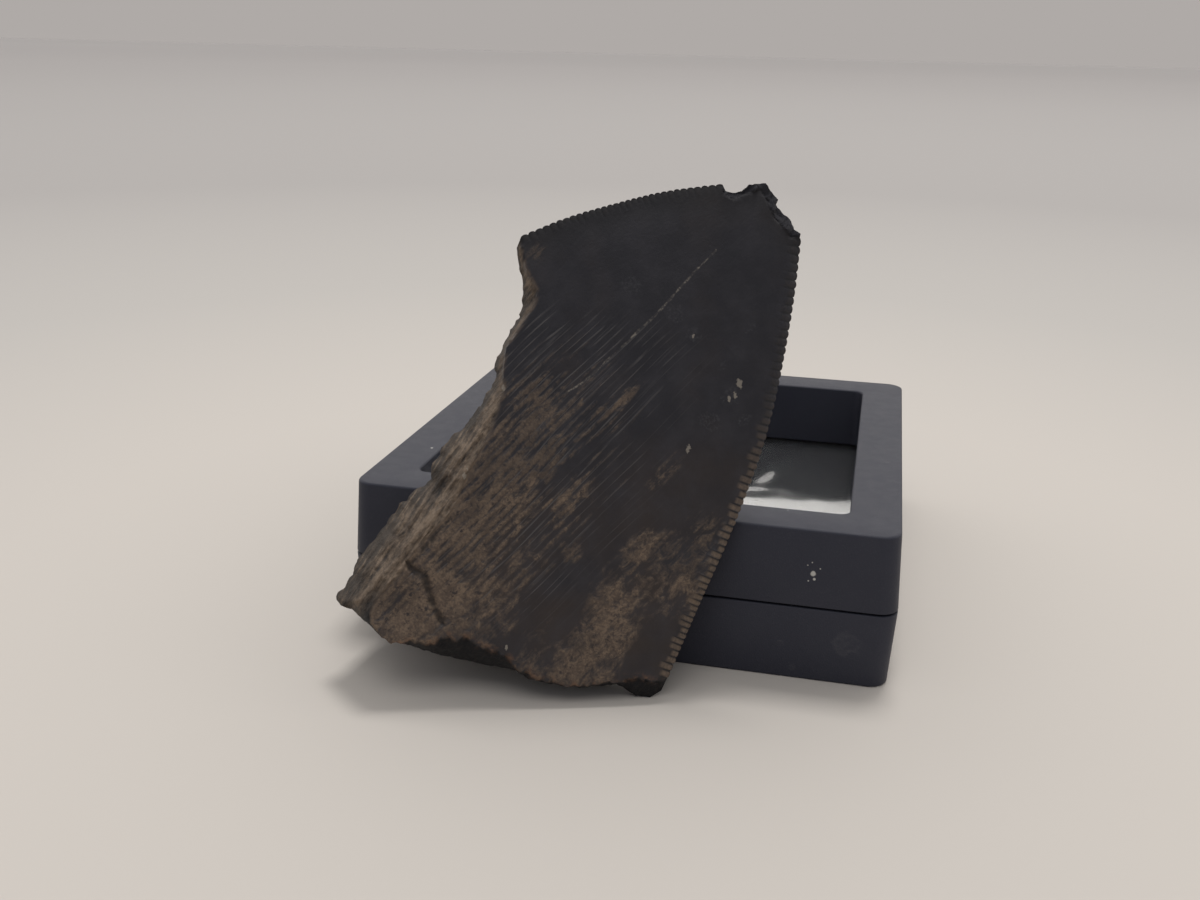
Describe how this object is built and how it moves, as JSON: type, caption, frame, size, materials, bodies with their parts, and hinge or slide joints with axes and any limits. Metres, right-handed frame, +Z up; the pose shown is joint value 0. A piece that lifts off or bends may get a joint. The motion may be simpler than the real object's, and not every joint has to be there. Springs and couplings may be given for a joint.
{
  "type": "fossil shark tooth with display box",
  "caption": "Broken megalodon tooth with serrated edges, standing on its broken foot and leaning against a closed square display box that has clear films across its window.",
  "frame": {"origin": "bottom centre of the whole object's bounding box, on the surface it stands on", "axes": "+Z up; +X along the box's front, to the right as seen by someone facing the tooth; +Y from the tooth's face back across the box"},
  "size_m": [0.07, 0.0884, 0.0591],
  "materials": {
    "fossil": "near-black enamel with brown mottling and fine streaks, rough brown-grey fibrous breaks",
    "black_plastic": "fine-grained matt black moulding with dust specks",
    "clear_film": "clear, glossy and slightly wrinkled stretch film"
  },
  "bodies": {
    "root": {"tooth": "fossil", "frame_lower": "black_plastic", "frame_upper": "black_plastic", "film_lower": "clear_film", "film_upper": "clear_film"}
  },
  "joints": []
}
